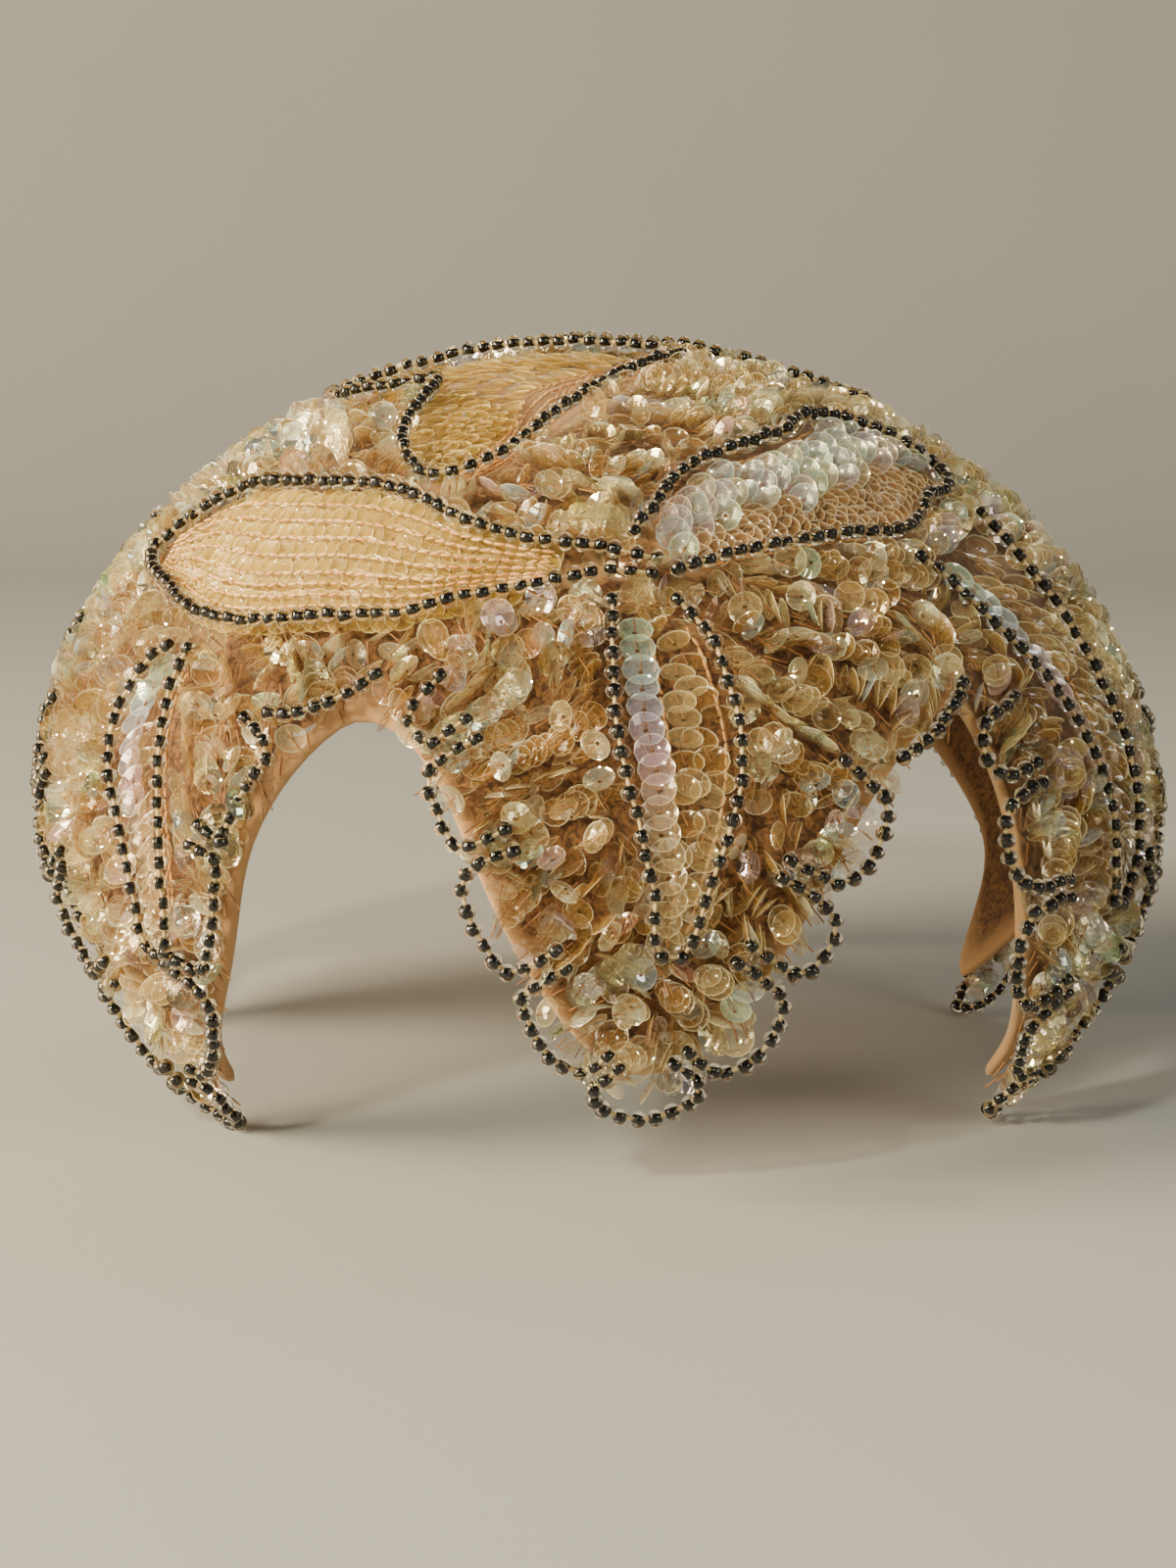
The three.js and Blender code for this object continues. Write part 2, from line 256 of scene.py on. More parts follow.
def reach_along(line):
    """How far along a polyline each of its points lies."""
    return np.concatenate([[0], np.cumsum(np.linalg.norm(np.diff(line, axis=0), axis=1))])


def points_at(spots, stations, line):
    """Points at these spots of a polyline whose own points stand at the stations."""
    return np.stack([np.interp(spots, stations, line[:, axis]) for axis in range(3)], -1)


def evenly(line, count):
    """This many even points along a polyline."""
    reach = reach_along(line)
    return points_at(np.linspace(0, reach[-1], count), reach, line)


def even_points(line, step):
    """A polyline cut again into equal steps of about this length."""
    return evenly(line, max(2, round(reach_along(line)[-1] / step) + 1))


def smooth_path(stations, step):
    """Even points along a smooth curve through the stations, of which a repeated one counts once."""
    apart = np.linalg.norm(np.diff(stations, axis=0), axis=1) > step / 2
    stations = stations[np.concatenate([[True], apart])]
    knots = np.vstack([2 * stations[0] - stations[1], stations, 2 * stations[-1] - stations[-2]])
    clock = np.concatenate([[0], np.cumsum(np.sqrt(np.linalg.norm(np.diff(knots, axis=0), axis=1)))])
    line = []
    for span in range(len(stations) - 1):
        time = clock[span:span + 4]
        now = np.linspace(time[1], time[2], CURVE_STEPS, endpoint=False)[:, None]
        points = list(knots[span:span + 4])
        for gap in (1, 2):
            shares = [(now - time[i]) / (time[i + gap] - time[i]) for i in range(4 - gap)]
            points = [
                (1 - share) * before + share * after
                for share, before, after in zip(shares, points[:-1], points[1:])
            ]
        share = (now - time[1]) / (time[2] - time[1])
        line.append((1 - share) * points[0] + share * points[1])
    return even_points(np.vstack([*line, stations[-1:]]), step)


# A lobe lies between two arches. Its levels are rows of drop and the azimuth of its two sides. Its scallops
# are a row for each join of its bead string: the share of the way along the felt's edge, then, in
# millimetres, how deep the join is sewn in and how far the scallop after it swings past the felt.
LEFT_ARCH = (-29.5, 67.5)
RIGHT_ARCH = (36.5, 66)
SIDE_ARCH = (90, 70)
BACK_ARCH = (148, 66.5)
SIDE_PITCH = 58
MILLIMETRE = 0.001


def flipped(arch):
    """The arch that mirrors this one on the other side of the hat."""
    return (-arch[0], arch[1])


FRONT_LOBE = {
    "before": LEFT_ARCH,
    "after": RIGHT_ARCH,
    "tip": (0.5, 113.5),
    "levels": [
        (69, -24, 31), (74.5, -19.5, 25), (81, -16.3, 20), (89, -13, 15.7), (98, -9.5, 11.5),
        (106.5, -5.8, 7.5),
    ],
    "scallops": [
        (0.05, 9, -2.5), (0.1, 8, 0), (0.195, 6.5, 1.5), (0.31, 6, 1.5), (0.42, 5.5, 2.2),
        (0.545, 5, 2.8), (0.655, 7, 2), (0.74, 8, 1.5), (0.85, 8, 0),
    ],
}
RIGHT_LOBE = {
    "before": RIGHT_ARCH,
    "after": SIDE_ARCH,
    "tip": (53, 125.5),
    "levels": [
        (71.5, 38.6, 84), (78, 40.2, 79), (85, 41.1, 73), (93, 41.8, 66.5), (101, 43, 61.5), (109, 46, 59.3),
        (118, 50.5, 57.5),
    ],
    "scallops": [
        (0.02, 5, 4), (0.09, 3, 5.5), (0.19, 5, 4.5), (0.295, 5, 2), (0.4, 4, 1.5), (0.53, 4, 2),
        (0.63, 5, 2), (0.72, 5, 2), (0.81, 5, 2), (0.9, 5, 0),
    ],
}
LEFT_LOBE = {
    "before": flipped(SIDE_ARCH),
    "after": LEFT_ARCH,
    "tip": (-53, 125.5),
    "levels": [
        (71.5, -84, -33.5), (78, -79, -37.5), (85, -73, -40), (93, -66.5, -41), (101, -61.5, -42.7),
        (109, -59.3, -46), (118, -57.5, -50.5),
    ],
    "scallops": [
        (0.08, 5, 2), (0.17, 5, 2), (0.27, 5, 2), (0.37, 5, 2), (0.47, 4, 1.5), (0.6, 4, 1.5),
        (0.726, 7.5, -1), (0.841, 5.5, -2.5), (0.94, 8, 0),
    ],
}


def turned(lobe, angle, before, after):
    """A copy of a lobe further round the hat, between other arches."""
    return {
        "before": before,
        "after": after,
        "tip": (lobe["tip"][0] + angle, lobe["tip"][1]),
        "levels": [(drop, start + angle, end + angle) for drop, start, end in lobe["levels"]],
        "scallops": lobe["scallops"],
    }


def lobe_edge(lobe):
    """A lobe's felt edge, from the arch before it round its tip to the arch after it."""
    starts = [(start, drop) for drop, start, end in lobe["levels"]]
    ends = [(end, drop) for drop, start, end in lobe["levels"]]
    stations = [lobe["before"], *starts, lobe["tip"], *ends[::-1], lobe["after"]]
    azimuth, drop = np.array(stations, float).T
    return smooth_path(dome(azimuth, drop), EDGE_STEP)


LOBES = {
    "left": LEFT_LOBE,
    "front": FRONT_LOBE,
    "right": RIGHT_LOBE,
    "back_right": turned(RIGHT_LOBE, SIDE_PITCH, SIDE_ARCH, BACK_ARCH),
    "back": turned(FRONT_LOBE, 180, BACK_ARCH, flipped(BACK_ARCH)),
    "back_left": turned(LEFT_LOBE, -SIDE_PITCH, flipped(BACK_ARCH), flipped(SIDE_ARCH)),
}
edges = {name: lobe_edge(lobe) for name, lobe in LOBES.items()}
lobe_tips = np.array([lobe["tip"][0] for lobe in LOBES.values()])

bpy.ops.object.select_all(action="DESELECT")
bpy.ops.mesh.primitive_grid_add(x_subdivisions=LOBE_COLUMNS * len(LOBES), y_subdivisions=FELT_RINGS, size=1)
felt_cap = bpy.context.object
felt_cap.name = "felt"
sheet = np.zeros(3 * len(felt_cap.data.vertices))
felt_cap.data.vertices.foreach_get("co", sheet)
round_share, down_share = sheet.reshape(-1, 3)[:, :2].T + 0.5
lobe_place = np.clip(round_share, 0, 1) * len(LOBES)
rim = np.zeros((len(round_share), 3))
for number, edge in enumerate(edges.values()):
    here = (lobe_place >= number) & (lobe_place <= number + 1)
    spots = (lobe_place[here] - number) * (len(edge) - 1)
    rim[here] = points_at(spots, np.arange(len(edge)), edge)
rim_azimuth, rim_drop = bearing(rim)
even = -SIDE_ARCH[0] + 360 * round_share
rim_azimuth = rim_azimuth + 360 * np.round((even - rim_azimuth) / 360)
azimuth = even + (rim_azimuth - even) * down_share ** 2
drop = rim_drop * down_share
wave = np.array([noise.noise(Vector(point) * FELT_WAVE_SCALE) for point in dome(azimuth, drop)])
shaped = dome(azimuth, drop, FELT_WAVE * (wave - 1))
felt_cap.data.vertices.foreach_set("co", shaped.ravel())
# Under the sequins the felt carries a bed of thread, and along its bare edge it is plain felt. The bed's
# colour is partly real orange thread and partly painted shade.
shaded_bed_share = np.clip((BARE_EDGE[1] - down_share) / (BARE_EDGE[1] - BARE_EDGE[0]), 0, 1)
felt_cap.data.attributes.new("shaded_thread_bed", "FLOAT", "POINT").data.foreach_set("value", shaded_bed_share)
bpy.ops.object.mode_set(mode="EDIT")
bpy.ops.mesh.select_all(action="SELECT")
bpy.ops.mesh.remove_doubles(threshold=1e-6)
bpy.ops.mesh.normals_make_consistent(inside=False)
bpy.ops.object.mode_set(mode="OBJECT")
wall = felt_cap.modifiers.new("wall", "SOLIDIFY")
wall.thickness = FELT_WALL
wall.offset = -1
soft = felt_cap.modifiers.new("soft", "SUBSURF")
soft.levels = soft.render_levels = 1
for modifier in ("wall", "soft"):
    bpy.ops.object.modifier_apply(modifier=modifier)
bpy.ops.object.shade_smooth()

wool, paint = new_finish("peach felt")
place = paint.node("ShaderNodeTexCoord", {}, {}, "Object")
mottle = paint.node("ShaderNodeTexNoise", {}, {"Vector": place, "Scale": 120.0, "Detail": 4.0})
fibre = paint.node("ShaderNodeTexNoise", {}, {
    "Vector": place, "Scale": 1800.0, "Detail": 3.0, "Roughness": 0.7,
})
strands = paint.node("ShaderNodeTexNoise", {}, {
    "Vector": place, "Scale": 700.0, "Detail": 4.0, "Distortion": 1.5,
})
shaded_bed = paint.node("ShaderNodeAttribute", {"attribute_name": "shaded_thread_bed"}, {}, "Fac")
bare = paint.mix(mottle, (0.38, 0.205, 0.078, 1), (0.50, 0.285, 0.12, 1))
# Painted shade: the thread bed is painted far darker than orange thread, near black-brown, to stand for the
# shade deep in the gaps between the sequins.
threads = paint.mix(paint.spread(strands, 0.35, 0.65), (0.05, 0.018, 0.004, 1), (0.22, 0.095, 0.025, 1))
height = fibre * 0.5 + strands * shaded_bed
surface(paint, {
    "Base Color": paint.mix(shaded_bed, bare, threads),
    "Roughness": 0.92,
    "Sheen Weight": 0.35,
    "Sheen Roughness": 0.5,
    "Sheen Tint": (1.0, 0.86, 0.72, 1),
    "Normal": paint.node("ShaderNodeBump", {}, {"Strength": 0.5, "Distance": 0.0004, "Height": height}),
})
felt_cap.data.materials.append(wool)
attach(felt_cap, "root")
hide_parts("felt_cap")


# Seed beads of the outlines
# Round beads of clear glass with a black lining, threaded in lines that outline each petal and leaf. A golden
# thread runs through them, and a small stitch between one bead and the next holds the line to the felt.
BEAD_DIAMETER = 0.0025
BEAD_LENGTH = 0.0021
LINING_DIAMETER = 0.0009
LINING_LENGTH = 0.0012
LINE_LIFT = 0.0036
PETAL_PITCH = 0.00248
LEAF_PITCH = 0.0028
THREAD_DIAMETER = 0.0005
KNOT_DIAMETER = 0.00065
KNOT_SIZES = (0.75, 1.25)
KNOT_SINK = 0.0003
BEAD_SHIFT = 0.00012
BEAD_TURN = 0.12
BEAD_SPREAD = 0.05
BEAD_LIMITS = (0.88, 1.08)


def pattern_of(piece):
    """The mesh of a shape that is modelled once, as arrays for its copies. The shape itself is removed."""
    mesh = piece.data
    pattern = {
        "points": np.array([corner.co for corner in mesh.vertices]),
        "corners": np.array([loop.vertex_index for loop in mesh.loops]),
        "starts": np.array([face.loop_start for face in mesh.polygons]),
    }
    bpy.data.objects.remove(piece)
    return pattern


def joined(name, groups, finishes):
    """One mesh of many copies. A group is a pattern, its copies' axes and places, and the finish's number."""
    points, corners, starts, numbers, counts = [], [], [], [], []
    for pattern, axes, places, number in groups:
        copies = len(places)
        base = sum(counts) + np.arange(copies)[:, None] * len(pattern["points"])
        loops = sum(len(part) for part in corners) + np.arange(copies)[:, None] * len(pattern["corners"])
        points.append((np.einsum("pk,nki->npi", pattern["points"], axes) + places[:, None]).reshape(-1, 3))
        corners.append((base + pattern["corners"]).ravel())
        starts.append((loops + pattern["starts"]).ravel())
        numbers.append(np.full(copies * len(pattern["starts"]), number))
        counts.append(copies * len(pattern["points"]))
    points, corners, starts, numbers = (np.concatenate(part) for part in (points, corners, starts, numbers))
    mesh = bpy.data.meshes.new(name)
    mesh.vertices.add(len(points))
    mesh.loops.add(len(corners))
    mesh.polygons.add(len(starts))
    mesh.vertices.foreach_set("co", points.ravel())
    mesh.loops.foreach_set("vertex_index", corners.astype(np.int32))
    mesh.polygons.foreach_set("loop_start", starts.astype(np.int32))
    mesh.polygons.foreach_set("material_index", numbers.astype(np.int32))
    mesh.polygons.foreach_set("use_smooth", np.ones(len(starts), bool))
    mesh.update()
    mesh.validate()
    for finish in finishes:
        mesh.materials.append(finish)
    piece = bpy.data.objects.new(name, mesh)
    bpy.context.scene.collection.objects.link(piece)
    return piece


def unit(vectors):
    """The same ways with a length of one."""
    return vectors / np.linalg.norm(vectors, axis=-1, keepdims=True)


def axes_along(ways, ups):
    """Axes for copies whose long Z axis lies along the ways, with X towards the ups."""
    ways = unit(ways)
    sides = unit(np.cross(ways, ups))
    return np.stack([np.cross(sides, ways), sides, ways], 1)


bpy.ops.object.select_all(action="DESELECT")
bpy.ops.mesh.primitive_uv_sphere_add(segments=10, ring_count=6, radius=BEAD_DIAMETER / 2)
bpy.ops.object.mode_set(mode="EDIT")
bpy.ops.mesh.select_all(action="SELECT")
bpy.ops.transform.resize(value=(1, 1, BEAD_LENGTH / BEAD_DIAMETER))
bpy.ops.object.mode_set(mode="OBJECT")
glass_bead = pattern_of(bpy.context.object)
bpy.ops.mesh.primitive_cylinder_add(vertices=8, radius=LINING_DIAMETER / 2, depth=LINING_LENGTH)
lining_core = pattern_of(bpy.context.object)
bpy.ops.mesh.primitive_ico_sphere_add(subdivisions=1, radius=KNOT_DIAMETER / 2)
stitch_knot = pattern_of(bpy.context.object)
bpy.ops.mesh.primitive_cylinder_add(
    vertices=5, radius=THREAD_DIAMETER / 2, depth=1, end_fill_type="NOTHING",
)
thread_length = pattern_of(bpy.context.object)

glass, paint = new_finish("clear bead glass")
surface(paint, {
    "Base Color": (1.0, 0.97, 0.88, 1),
    "Roughness": 0.03,
    "IOR": 1.5,
    "Sheen Weight": 0.9,
    "Sheen Roughness": 0.25,
    "Sheen Tint": (1.0, 0.93, 0.72, 1),
    "Transmission Weight": 1.0,
})
lining, paint = new_finish("black bead lining")
place = paint.node("ShaderNodeTexCoord", {}, {}, "Object")
streak = paint.node("ShaderNodeTexNoise", {}, {"Vector": place, "Scale": 900.0})
surface(paint, {
    "Base Color": paint.mix(streak, (0.001, 0.001, 0.001, 1), (0.008, 0.007, 0.006, 1)),
    "Roughness": 0.25,
    "Specular IOR Level": 0.15,
})
golden_thread, paint = new_finish("golden thread")
place = paint.node("ShaderNodeTexCoord", {}, {}, "Object")
twist = paint.node("ShaderNodeTexNoise", {}, {"Vector": place, "Scale": 2500.0, "Detail": 2.0})
surface(paint, {
    "Base Color": paint.mix(twist, (0.42, 0.28, 0.11, 1), (0.70, 0.54, 0.30, 1)),
    "Roughness": 0.6,
    "Normal": paint.node("ShaderNodeBump", {}, {"Strength": 0.4, "Distance": 0.0002, "Height": twist}),
})


def beads_along(paths, pitch, seed):
    """The groups of a bead string: glass, lining, knots and thread along paths on the dome."""
    rng = np.random.default_rng(seed)
    groups = []
    for path in paths:
        places = even_points(path, pitch)
        ways = np.gradient(places, axis=0)
        ups = normal_at(*bearing(places))
        places = places + rng.normal(0, BEAD_SHIFT, places.shape)
        axes = axes_along(ways + rng.normal(0, BEAD_TURN * pitch, ways.shape), ups)
        sizes = rng.normal(1, BEAD_SPREAD, (len(places), 1, 1)).clip(*BEAD_LIMITS)
        between = (places[1:] + places[:-1]) / 2
        spans = np.diff(places, axis=0)
        knots = axes_along(spans, ups[1:]) * rng.uniform(*KNOT_SIZES, (len(spans), 3, 1))
        threads = axes_along(spans, ups[1:])
        threads[:, 2] *= np.linalg.norm(spans, axis=1, keepdims=True)
        groups += [
            (glass_bead, axes * sizes, places, 0),
            (lining_core, axes * sizes, places, 1),
            (stitch_knot, knots, between - ups[1:] * KNOT_SINK, 2),
            (thread_length, threads, between, 2),
        ]
    return groups


def sew_string(name, node, groups):
    """A bead string as one piece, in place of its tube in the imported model."""
    piece = joined(name, groups, [glass, lining, golden_thread])
    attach(piece, "root")
    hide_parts(node)


# Each line has its stations of azimuth and drop, out from its hub and back to it, then its copies further
# back: their names, -1 for one that is mirrored, and how far it is turned about the crown.
LINES = {
    "left_petal": ([
        (-4, 48.7), (-12, 47.8), (-20, 46), (-29, 42.8), (-37, 41.5), (-50, 41.8), (-62, 43.2), (-69, 48.5),
        (-72, 53), (-67, 55.3), (-60, 57), (-52, 59.2), (-44, 59.3), (-38, 58.4), (-26, 57.2), (-19, 55),
        (-11, 53.2), (-5, 52),
    ], [("back_right_petal", 1, 180)]),
    "right_petal": ([
        (0, 46.8), (3, 43.5), (7, 39), (18, 34.5), (30, 32), (45, 28.8), (57, 33), (60, 39), (55, 42.5),
        (47, 43.5), (42, 46), (37, 47.4), (28, 47.4), (19, 48.4), (11, 49.6), (4.8, 51.6),
    ], [("back_left_petal", 1, 180)]),
    "left_crown_petal": ([
        (40, 11.5), (-2, 20), (-14, 29), (-21, 36.5), (-29, 39.5), (-37, 35.5), (-42, 31), (-47, 25),
        (-52, 21.5), (-61, 22.7), (-73, 25.5), (-83, 27.4), (-96, 27.4), (-104, 15.5), (-94, 6), (50, 6.5),
    ], [("right_crown_petal", 1, 180)]),
    "left_leaf": ([
        (-54.8, 63.2), (-57.5, 66.5), (-59, 73), (-57, 78), (-54, 83), (-51.5, 89), (-49.8, 96.5),
        (-47.4, 96.5), (-47, 89), (-49, 78), (-51.2, 69), (-51, 63.2),
    ], [("back_right_leaf", -1, SIDE_PITCH)]),
    "front_leaf": ([
        (-2.6, 55), (-2.8, 62), (-2.2, 70), (-0.6, 78), (0.9, 85), (1.2, 91.5), (3.4, 91.5), (5.8, 84),
        (8, 77.5), (9.2, 70.5), (8.6, 64.5), (7, 58.5), (4.2, 55),
    ], [("back_leaf", 1, 180)]),
    "right_leaf": ([
        (37.5, 51), (41, 56), (45, 61.5), (49.5, 68.5), (53, 76), (54.6, 84), (54.2, 92), (56.6, 92),
        (61.5, 84.5), (61.8, 76.5), (60, 67), (58.5, 56), (57.5, 46.5),
    ], [("back_left_leaf", -1, -SIDE_PITCH)]),
    "left_front_bridge": (
        [(-37, 69), (-34, 68.6), (-31, 67.4), (-28.5, 66), (-26.3, 64)],
        [("back_left_left_bridge", 1, -60), ("back_right_back_bridge", 1, 178)],
    ),
    "front_right_bridge": (
        [(25.3, 72.6), (27.8, 71.4), (30, 69.8), (32.5, 67.8), (34.7, 65.7)],
        [("right_back_right_bridge", 1, 56), ("back_back_left_bridge", 1, 176)],
    ),
}
# Loose beads that carry the left petal's two lines on into the hub, and those of its copy at the back
HUB_ROWS = [[(-2.2, 49.3), (0.2, 49.7), (2.4, 50.1)], [(-2.9, 51.6), (-0.7, 51.7), (1.6, 51.9)]]
HUB_TURNS = {"left_petal": 0, "back_right_petal": 180}

outlines = {}
for name, (stations, copies) in LINES.items():
    azimuth, drop = np.array(stations, float).T
    for copy, sense, turn in [(name, 1, 0), *copies]:
        outlines[copy] = smooth_path(dome(sense * azimuth + turn, drop), EDGE_STEP)
for seed, (name, outline) in enumerate(outlines.items()):
    pitch = LEAF_PITCH if name.endswith("leaf") else PETAL_PITCH
    paths = [dome(*bearing(outline), LINE_LIFT)]
    if name in HUB_TURNS:
        for stations in HUB_ROWS:
            azimuth, drop = np.array(stations).T
            paths.append(dome(azimuth + HUB_TURNS[name], drop, LINE_LIFT))
    sew_string(f"{name}_beads", f"{name}_string", beads_along(paths, pitch, seed))


# Beads of the edge
# The string round each lobe hangs in scallops past the felt. Where two scallops join, both ends of the string
# are sewn inwards side by side, which makes a short double row of beads.
JOIN_LIFT = 0.0036
LOOP_LIFT = 0.003
LOOP_EXTRA = 0.0008
JOIN_CLEARANCE = 0.003
ROW_GAP = 0.0013
ROW_REACH = 0.0055
LOOP_ROUNDNESS = 0.75
LOOP_POINTS = 9
EDGE_SEED = 40


def beside_edge(edge, share, out, lift):
    """Points beside a lobe's edge: out is positive past the felt."""
    spot = np.asarray(share) * (len(edge) - 1)
    before, at, after = (points_at(spot + step, np.arange(len(edge)), edge) for step in (-1, 0, 1))
    outward = unit(np.cross(after - before, normal_at(*bearing(at))))
    return dome(*bearing(at + outward * np.asarray(out)[..., None]), lift)


def sewn_in(edge, tip, join, depth):
    """How deep a join is sewn in, which the half width of the lobe limits near its tip."""
    azimuth, drop = bearing(edge[round(join * (len(edge) - 1))])
    turn = math.radians((azimuth - tip + 180) % 360 - 180)
    half = abs(turn) * WIDEST_RADIUS * math.sin(math.radians(drop))
    return min(depth * MILLIMETRE, max(0.0, half - JOIN_CLEARANCE))


for number, (name, edge) in enumerate(edges.items()):
    gap = ROW_GAP / (len(edge) * EDGE_STEP)
    scallops = LOBES[name]["scallops"]
    paths = []
    for (join, depth, swing), (next_join, next_depth, _) in zip(scallops[:-1], scallops[1:]):
        depths = [sewn_in(edge, lobe_tips[number], *row) for row in ((join, depth), (next_join, next_depth))]
        angle = np.linspace(0, math.pi, LOOP_POINTS)
        rise = np.sin(angle) ** LOOP_ROUNDNESS
        base = np.linspace(*[min(0.0, ROW_REACH - deep) for deep in depths], LOOP_POINTS)
        out = base + (swing * MILLIMETRE + LOOP_EXTRA - base) * rise
        share = np.linspace(join + gap, next_join - gap, 2)
        share = share.mean() - np.diff(share)[0] / 2 * np.cos(angle)
        share = np.concatenate([share[:1], share, share[-1:]])
        out = np.concatenate([[-depths[0]], out, [-depths[1]]])
        lift = JOIN_LIFT + (LOOP_LIFT - JOIN_LIFT) * np.concatenate([[0], rise, [0]])
        paths.append(smooth_path(beside_edge(edge, share, out, lift), EDGE_STEP))
    groups = beads_along(paths, PETAL_PITCH, EDGE_SEED + number)
    sew_string(f"{name}_edge_beads", f"{name}_edge_string", groups)


# Sequins
# Thin cups of clear champagne plastic with an iridescent film, punched with a hole in the middle. One cup is
# modelled and repeated. A stitch of tan thread from its hole over its rim holds each one to the felt.
CUP_DIAMETER = 0.0046
CUP_SIDES = 12
CUP_FLOOR = 0.55
CUP_HOLE = 0.13
CUP_DEPTH = 0.0006
STITCH_WIDTH = 0.3
STITCH_SINK = 0.7
STITCH_CLIMB = 0.2
SHADES = (0.85, 1.08)
PEACH = 1
TAN = 2

bpy.ops.object.select_all(action="DESELECT")
bpy.ops.mesh.primitive_circle_add(vertices=CUP_SIDES, radius=CUP_DIAMETER / 2)
bpy.ops.object.mode_set(mode="EDIT")
bpy.ops.mesh.select_all(action="SELECT")
for reach, fall in ((CUP_FLOOR, -CUP_DEPTH), (CUP_HOLE / CUP_FLOOR, 0)):
    bpy.ops.mesh.extrude_region_move(TRANSFORM_OT_translate={"value": (0, 0, fall)})
    bpy.ops.transform.resize(value=(reach, reach, 1))
bpy.ops.mesh.select_all(action="SELECT")
bpy.ops.mesh.normals_make_consistent(inside=False)
bpy.ops.object.mode_set(mode="OBJECT")
sequin = pattern_of(bpy.context.object)
sequin_reach = np.linalg.norm(sequin["points"][:, :2], axis=1) / (CUP_DIAMETER / 2)


def sequin_finish(name, alpha, edge, roughness, shine, thickness):
    """Clear plastic, more opaque at its rim and where its film is strong. Edge is how pale its rim is
    painted, a painted highlight.
    """
    finish, paint = new_finish(name)
    tint = paint.node("ShaderNodeAttribute", {"attribute_name": "tint"}, {}, "Color")
    reach = paint.node("ShaderNodeAttribute", {"attribute_name": "reach"}, {}, "Fac")
    film = paint.node("ShaderNodeAttribute", {"attribute_name": "film"}, {}, "Fac")
    rim = paint.spread(reach, 0.86, 1.0)
    surface(paint, {
        # The rim is painted towards pale gold: a painted highlight for the light that its edge catches.
        "Base Color": paint.mix(rim * edge, tint, (1.0, 0.94, 0.62, 1)),
        "Metallic": film,
        "Roughness": roughness - film * 0.2,
        "Alpha": alpha + rim * 0.5 + film * 0.6,
        "Specular IOR Level": shine,
        "Coat Weight": shine,
        "Coat Roughness": 0.05,
        "Coat IOR": 2.6,
        "Thin Film Thickness": thickness,
        "Thin Film IOR": 1.7,
    })
    return finish


clear_sequin = sequin_finish("clear champagne sequin", 0.13, 0.6, 0.2, 0.8, 430.0)
cream_sequin = sequin_finish("cream petal sequin", 0.5, 0.3, 0.45, 0.2, 0.0)
pastel_sequin = sequin_finish("pastel petal sequin", 0.25, 0.3, 0.25, 0.4, 430.0)


def thread_finish(name, dark, pale):
    """Soft thread whose shade drifts along the work."""
    finish, paint = new_finish(name)
    place = paint.node("ShaderNodeTexCoord", {}, {}, "Object")
    shade = paint.node("ShaderNodeTexNoise", {}, {"Vector": place, "Scale": 160.0, "Detail": 2.0})
    surface(paint, {"Base Color": paint.mix(paint.spread(shade, 0.35, 0.65), dark, pale), "Roughness": 0.5})
    return finish


peach_thread = thread_finish("peach thread", (0.52, 0.23, 0.06, 1), (0.74, 0.44, 0.17, 1))
tan_thread = thread_finish("tan thread", (0.18, 0.065, 0.015, 1), (0.46, 0.22, 0.065, 1))

CREAMS = np.array([(0.70, 0.47, 0.15), (0.58, 0.35, 0.08), (0.78, 0.60, 0.25), (0.46, 0.24, 0.04)])
PASTELS = np.array([
    (0.66, 0.93, 0.70), (0.64, 0.84, 0.92), (0.78, 0.70, 0.86), (0.98, 0.70, 0.66), (1.0, 0.90, 0.56),
    (0.98, 0.98, 0.76), (0.94, 0.88, 0.54), (0.96, 0.92, 0.62),
])


def leaning(ups, ways, tilt, roll):
    """Axes of sequins that lie along the ways with their leading rim raised by the tilt."""
    sides = unit(np.cross(ups, ways))
    level = np.cross(sides, ups)
    along = level * np.cos(tilt)[:, None] + ups * np.sin(tilt)[:, None]
    out = np.cross(along, sides)
    sides = sides * np.cos(roll)[:, None] + out * np.sin(roll)[:, None]
    return np.stack([along, sides, np.cross(along, sides)], 1)


def threads_between(starts, ends, width, number):
    """The group of straight lengths of thread from start to end, in the finish of this number."""
    spans = ends - starts
    axes = axes_along(spans, spans[:, [1, 2, 0]] + 1e-9)
    axes[:, :2] *= width
    axes[:, 2] *= np.linalg.norm(spans, axis=1, keepdims=True)
    return thread_length, axes, (starts + ends) / 2, number


def stitches(axes, places):
    """The group of stitches that hold sequins, each from the hole over the rim."""
    holes = places - axes[:, 2] * CUP_DEPTH * STITCH_SINK
    rims = places - axes[:, 0] * CUP_DIAMETER / 2 + axes[:, 2] * CUP_DEPTH * STITCH_CLIMB
    return threads_between(holes, rims, STITCH_WIDTH, TAN)


def sew_sequins(name, finish, axes, places, tints, films, threads):
    """One piece of many sequins, with their tints and films, and of the groups of thread beside them."""
    piece = joined(name, [(sequin, axes, places, 0), *threads], [finish, peach_thread, tan_thread])
    count = len(piece.data.vertices)
    per_cup = len(sequin["points"])
    colours = np.column_stack([tints, np.ones(len(tints))])
    for label, kind, field, values in (
        ("reach", "FLOAT", "value", np.tile(sequin_reach, len(places))[:, None]),
        ("film", "FLOAT", "value", np.repeat(films, per_cup)[:, None]),
        ("tint", "FLOAT_COLOR", "color", np.repeat(colours, per_cup, axis=0)),
    ):
        padded = np.zeros((count, values.shape[1]))
        padded[:len(values)] = values
        piece.data.attributes.new(label, kind, "POINT").data.foreach_set(field, padded.ravel())
    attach(piece, "root")
    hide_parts("sequin_cover")
